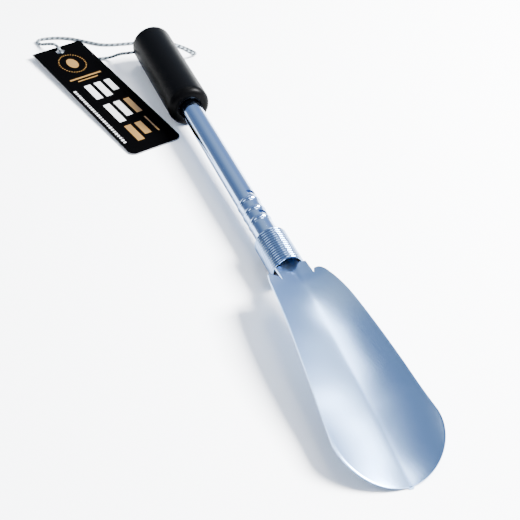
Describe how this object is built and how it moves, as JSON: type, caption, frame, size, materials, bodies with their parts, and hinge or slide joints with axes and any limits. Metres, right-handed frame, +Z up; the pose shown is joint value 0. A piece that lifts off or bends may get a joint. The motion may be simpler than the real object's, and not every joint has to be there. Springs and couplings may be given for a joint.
{
  "type": "long shoehorn",
  "caption": "Long shoehorn: dished steel blade joined by a flexible coil spring to a tube handle with a soft domed grip, cord loop and hang tag",
  "frame": {"origin": "centre of the bounding box's bottom, on the floor the shoehorn lies on, cord left out", "axes": "+Y along the shaft towards the grip, +Z up as it lies with the blade's hollow facing up, +X to its right"},
  "size_m": [0.1037, 0.4343, 0.0271],
  "materials": {
    "tube_steel": "polished plated steel tube",
    "spring_steel": "polished plated spring wire",
    "blade_steel": "polished plated sheet",
    "plug_plastic": "plain moulded",
    "grip_rubber": "smooth matte",
    "cord_fabric": "two-ply twisted, grey and black",
    "tag_card": "printed card with a light cut edge"
  },
  "bodies": {
    "handle": {"shaft_tube": "tube_steel", "neck_plug": "plug_plastic", "grip_sleeve": "grip_rubber", "tube_end_plug": "plug_plastic", "cord_knot": "cord_fabric", "hang_cord": "cord_fabric"},
    "neck": {"neck_spring": "spring_steel"},
    "blade": {"blade": "blade_steel", "heel_plug": "plug_plastic"},
    "tag": {"hang_tag": "tag_card"}
  },
  "joints": [
    {"name": "neck_bend", "type": "hinge", "parent": "handle", "child": "neck", "pos_m": [0, -0.03425, 0.01037], "axis": [1, 0, 0], "range_deg": [-20, 20], "stiffness_Nm_per_rad": 1.5, "deforming": ["neck_spring"]},
    {"name": "neck_sway", "type": "hinge", "parent": "neck", "child": "blade", "pos_m": [0, -0.04125, 0.01025], "axis": [0, -0.0175, 0.9998], "range_deg": [-20, 20], "stiffness_Nm_per_rad": 1.5},
    {"name": "tag_swing", "type": "hinge", "parent": "handle", "child": "tag", "pos_m": [-0.05467, 0.2177, 0.0031], "axis": [0.0045, -0.0197, 0.9998], "range_deg": [-25, 0]}
  ]
}
